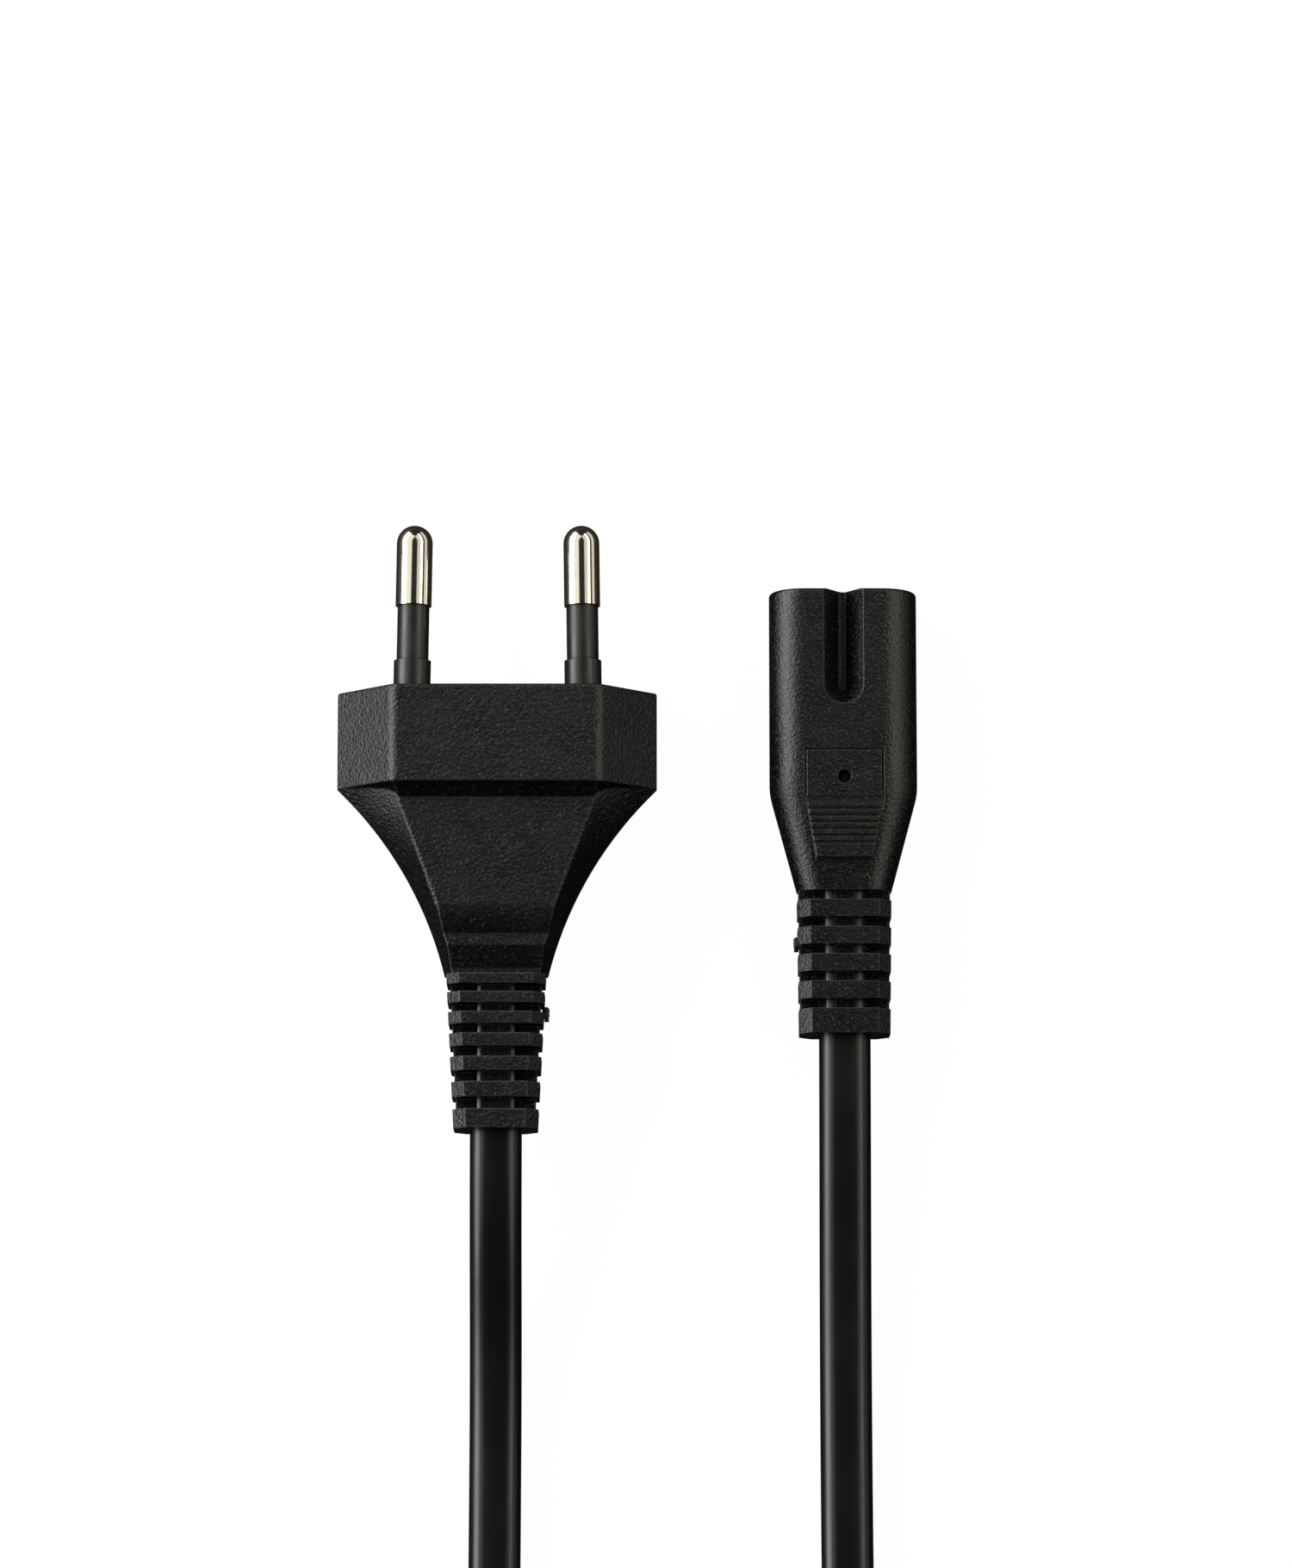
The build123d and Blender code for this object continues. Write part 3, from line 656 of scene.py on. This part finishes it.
@dataclass
class TwistTie:
    """A coated wire tie round the coil, its two ends twisted together.

    Sizes are in millimetres.
    """

    centre: tuple[float, float, float] = (4.75, -177.4, 6.06)
    reach: float = 8.4
    half_height: float = 5.62
    corner: float = 2.2
    corner_steps: int = 6
    strip_width: float = 4.0
    twisted_width: float = 2.2
    strip_thickness: float = 0.32
    wire_radius: float = 0.42
    twist_start: float = -185.5
    twist_height: float = 3.6
    twist_droop: float = 0.12
    twist_pitch: float = 2.9
    twist_turns: float = 2.25
    steps_a_turn: int = 12
    tip_length: float = 1.4
    tip_steps: int = 4
    tip_splay: float = 1.1

    def section(self, width: float) -> list[tuple[float, float]]:
        """Draws the strip's section: thin wings with the wire's round ridge in the middle.

        Args:
            width: The strip's width.

        Returns:
            The section's corners, across the strip and out of it.
        """
        half, wing, ridge = width / 2, self.strip_thickness / 2, self.wire_radius
        right = [(half, -wing), (half, wing), (ridge * 1.2, wing * 1.2), (ridge * 0.6, ridge * 0.85)]
        left = [(-x, y) for x, y in reversed(right)]
        return [*right, (0.0, ridge), *left]

    def band(self) -> bpy.types.Object:
        """Wraps the strip round the coil's turns, flat on them, in a plane across them."""
        middle, along = Vector(self.centre), Vector((1, 0, 0))
        stations = []
        for quarter in range(4):
            start = math.tau * quarter / 4
            side = 1 if quarter in (0, 3) else -1
            rise = 1 if quarter in (0, 1) else -1
            pivot = Vector((0, side * (self.reach - self.corner), rise * (self.half_height - self.corner)))
            for step in range(self.corner_steps + 1):
                angle = start + math.tau / 4 * step / self.corner_steps
                out = Vector((0, math.cos(angle), math.sin(angle)))
                stations.append(station(middle + pivot + out * self.corner, along, out))
        stations.append(stations[0])
        return swept_piece("tie_band", stations, self.section(self.strip_width), closed=True)

    def end(self, name: str, side: int) -> bpy.types.Object:
        """Twists one end of the strip round the other, and bends its tip away.

        Args:
            name: The piece's name.
            side: 1 or -1, for the side of the twist's middle that it lies on.

        Returns:
            The end.
        """
        count = round(self.twist_turns * self.steps_a_turn)
        tip = self.tip_length / self.tip_steps
        stations = []
        for step in range(count + self.tip_steps + 1):
            turned = math.tau * min(step, count) / self.steps_a_turn
            beyond = max(step - count, 0)
            along = self.twist_pitch * min(step, count) / self.steps_a_turn + beyond * tip
            across = Vector((math.cos(turned), 0, math.sin(turned)))
            out = Vector((-math.sin(turned), 0, math.cos(turned))) * side
            offset = self.wire_radius + self.tip_splay * (beyond / self.tip_steps) ** 1.5
            height = self.twist_height - along * self.twist_droop
            spine = Vector((self.centre[0], self.twist_start - along, height))
            stations.append(station(spine + out * offset, across, out))
        return swept_piece(name, stations, self.section(self.twisted_width))

    def build(self) -> list[bpy.types.Object]:
        """Makes the band and its two ends, which stand for the tie's solid."""
        pieces = [self.band(), self.end("tie_end_upper", 1), self.end("tie_end_lower", -1)]
        material = TIE_STRIP.material()
        for piece in pieces:
            dress(piece, material)
            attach(piece, BODY)
        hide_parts("coil_tie")
        log.info("tie: a band and %d twisted ends", len(pieces) - 1)
        return pieces


@dataclass
class Studio:
    """The table, the light and the camera."""

    distance: float = 0.70
    elevation_degrees: float = 80.5
    target_mm: tuple[float, float, float] = (2.0, 5.85, 0.0)
    lens_mm: float = 144.0
    floor_size: float = 6.0
    lamp_distance: float = 0.9
    room_strength: float = 0.025
    table_glow: float = 0.97
    mirrored_glow: float = 0.01

    def floor(self) -> None:
        """Lays a white table that goes pure white to the camera and keeps a faint shadow. In reflections its
        paper is painted dark brown, as painted shade.
        """
        shape = bmesh.new()
        bmesh.ops.create_grid(shape, x_segments=1, y_segments=1, size=self.floor_size / 2)
        mesh = bpy.data.meshes.new("table")
        shape.to_mesh(mesh)
        shape.free()
        table = bpy.data.objects.new("table", mesh)
        bpy.context.scene.collection.objects.link(table)
        material, tree, output = new_material("table_white_paper")
        path = add_node(tree, "ShaderNodeLightPath")
        mirrored = add_node(
            tree,
            "ShaderNodeMath",
            {0: path.outputs["Is Glossy Ray"], 1: path.outputs["Is Transmission Ray"]},
            operation="MAXIMUM",
        )
        faint = add_node(
            tree, "ShaderNodeMath", {0: mirrored.outputs[0], 1: self.mirrored_glow}, operation="MULTIPLY"
        )
        strength = add_node(
            tree,
            "ShaderNodeMath",
            {0: path.outputs["Is Camera Ray"], 1: self.table_glow, 2: faint.outputs[0]},
            operation="MULTIPLY_ADD",
        )
        # Painted shade: to reflections the paper turns dark brown, as if the table round the parts lay in
        # shadow
        paper_and_painted_shade = add_node(
            tree,
            "ShaderNodeMix",
            {"Factor": mirrored.outputs[0], "A": linear("#3c3731"), "B": linear("#1d150d")},
            data_type="RGBA",
        )
        paper = add_node(
            tree,
            "ShaderNodeBsdfPrincipled",
            {
                "Base Color": paper_and_painted_shade.outputs["Result"],
                "Roughness": 0.9,
                "Specular IOR Level": 0.1,
                "Emission Color": (1.0, 1.0, 1.0, 1.0),
                "Emission Strength": strength.outputs[0],
            },
        )
        tree.links.new(paper.outputs["BSDF"], output.inputs["Surface"])
        dress(table, material)

    def world(self) -> None:
        """Makes a dim room that shows as white to the camera."""
        world = bpy.data.worlds.new("studio")
        bpy.context.scene.world = world
        world.use_nodes = True
        tree = world.node_tree
        tree.nodes.clear()
        output = tree.nodes.new("ShaderNodeOutputWorld")
        path = add_node(tree, "ShaderNodeLightPath")
        strength = add_node(
            tree,
            "ShaderNodeMapRange",
            {"Value": path.outputs["Is Camera Ray"], "To Min": self.room_strength, "To Max": 1.0},
        )
        background = add_node(
            tree, "ShaderNodeBackground", {"Color": (1.0, 1.0, 1.0, 1.0), "Strength": strength.outputs[0]}
        )
        tree.links.new(background.outputs[0], output.inputs["Surface"])

    def softbox(
        self,
        name: str,
        heading: float,
        elevation: float,
        size: tuple[float, float],
        power: float,
        colour: str,
    ) -> None:
        """Hangs one softbox over the table, turned towards the object.

        Args:
            name: The lamp's name.
            heading: Where it stands, in degrees from straight behind the plug to the right.
            elevation: Its height above the table, in degrees, seen from the object.
            size: Its width and its height, in metres.
            power: Its power in watts.
            colour: Its colour.
        """
        lamp = bpy.data.lights.new(name, "AREA")
        lamp.shape = "RECTANGLE"
        lamp.size, lamp.size_y = size
        lamp.energy = power
        lamp.color = linear(colour)[:3]
        holder = bpy.data.objects.new(name, lamp)
        bpy.context.scene.collection.objects.link(holder)
        turn, rise = math.radians(heading), math.radians(elevation)
        flat = math.cos(rise)
        away = Vector((flat * math.sin(turn), flat * math.cos(turn), math.sin(rise)))
        holder.location = away * self.lamp_distance
        holder.rotation_euler = away.to_track_quat("Z", "Y").to_euler()

    def camera(self) -> None:
        """Sets a long lens above the table, tipped a little towards the cable's side."""
        data = bpy.data.cameras.new("camera")
        data.lens = self.lens_mm
        data.sensor_width = 36.0
        data.clip_start = 0.05
        camera = bpy.data.objects.new("camera", data)
        bpy.context.scene.collection.objects.link(camera)
        angle = math.radians(self.elevation_degrees)
        target = Vector(self.target_mm) * MM
        camera.location = target + self.distance * Vector((0, -math.cos(angle), math.sin(angle)))
        camera.rotation_euler = (math.pi / 2 - angle, 0, 0)
        bpy.context.scene.camera = camera

    def build(self) -> None:
        """Sets up everything round the object."""
        bpy.context.scene.view_settings.view_transform = "Standard"
        self.floor()
        self.world()
        self.softbox("softbox_left_low", -67, 24, (1.5, 0.5), 18.5, "#f5f8f6")
        self.softbox("softbox_left_high", -60, 56, (1.2, 0.4), 1.7, "#fffbf0")
        self.softbox("softbox_right_low", 60, 12, (1.2, 0.3), 1.0, "#fff6ea")
        self.softbox("softbox_right_middle", 67, 42, (1.5, 0.22), 4.2, "#fff6ea")
        self.softbox("softbox_right_high", 60, 60, (1.2, 0.25), 0.8, "#fff6ea")
        self.camera()
        log.info("studio: table, softboxes and camera in place")


def main() -> None:
    """Builds the cord round its solids, then the studio."""
    logging.basicConfig(level=logging.INFO, format="%(name)s: %(message)s")
    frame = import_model()
    PlugEnd(frame).build()
    ConnectorEnd(frame).build()
    Wiring(frame).build()
    TwinCable().build(TwistTie().build())
    Studio().build()


if __name__ == "__main__":
    main()
